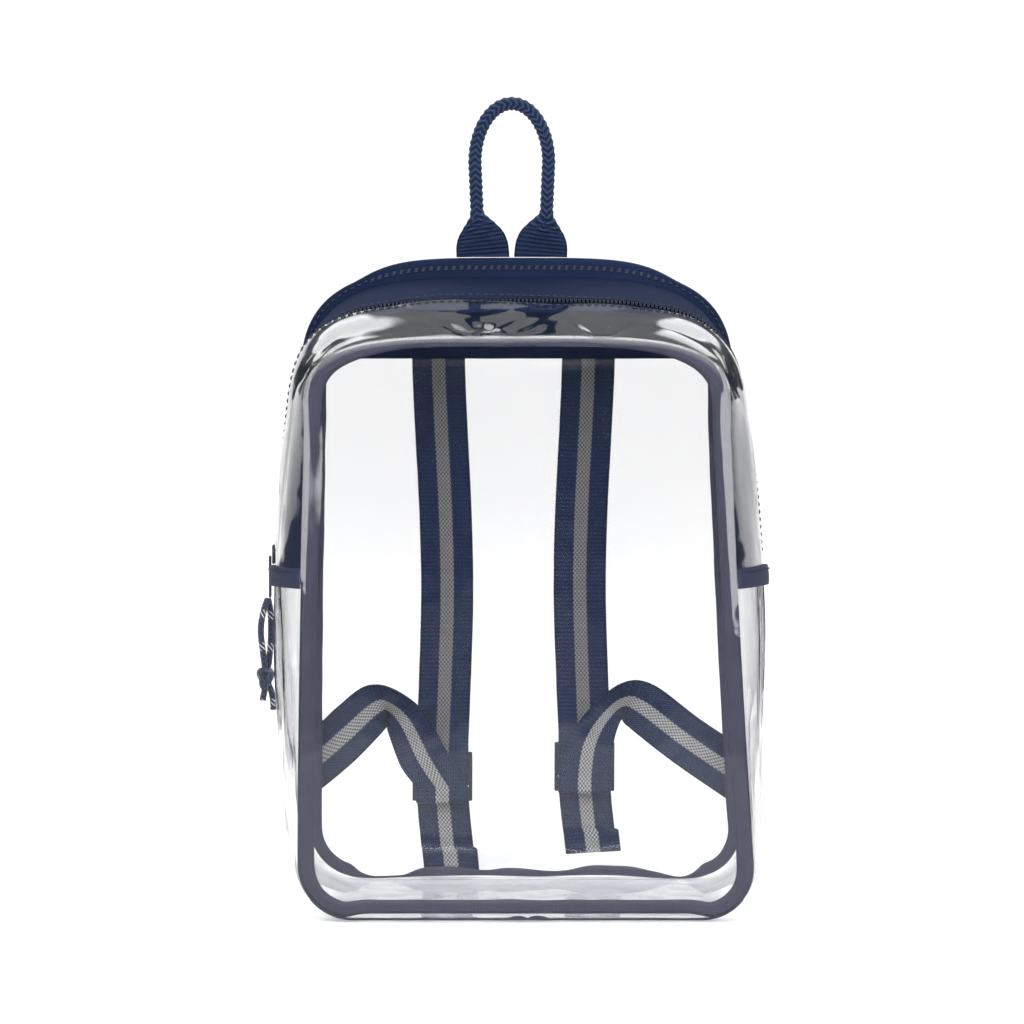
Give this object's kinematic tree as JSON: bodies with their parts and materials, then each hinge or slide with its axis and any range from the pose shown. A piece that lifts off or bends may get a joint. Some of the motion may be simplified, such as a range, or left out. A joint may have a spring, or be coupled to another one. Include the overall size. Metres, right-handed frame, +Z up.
{
  "type": "clear stadium backpack",
  "caption": "Small clear backpack with navy trim, an arched zip top, a carry handle and webbing shoulder straps, standing on its flat foot.",
  "frame": {"origin": "middle of the flat foot, on the surface that the bag stands on", "axes": "+Z up, the clear front faces -Y, +X is to the right of someone who looks at the front"},
  "size_m": [0.2415, 0.1299, 0.3787],
  "materials": {
    "clear_vinyl": "clear glossy vinyl",
    "fabric": "woven navy cloth",
    "coil": "satin",
    "slider": "satin",
    "binding": "ribbed navy tape",
    "webbing": "woven navy webbing",
    "striped_webbing": "navy webbing with a grey stripe",
    "buckle": "satin",
    "cord": "braided navy cord with pale flecks"
  },
  "bodies": {
    "root": {"front_panel": "clear_vinyl", "back_panel": "clear_vinyl", "lower_gusset": "clear_vinyl", "front_gusset_strip": "clear_vinyl", "back_gusset_strip": "fabric", "back_yoke": "fabric", "top_flange": "fabric", "zipper_tape": "fabric", "zipper_coil": "coil", "zip_slider": "slider", "front_binding": "binding", "back_binding": "binding", "gusset_band_left": "binding", "gusset_band_right": "binding", "carry_handle": "webbing", "shoulder_strap_left": "striped_webbing", "shoulder_strap_right": "striped_webbing", "lower_strap_left": "striped_webbing", "lower_strap_right": "striped_webbing", "ladder_lock_left": "buckle", "ladder_lock_right": "buckle", "zip_cord_front": "cord", "zip_cord_back": "cord", "cord_end_short": "cord", "cord_end_long": "cord", "zip_knot": "cord"}
  },
  "joints": []
}
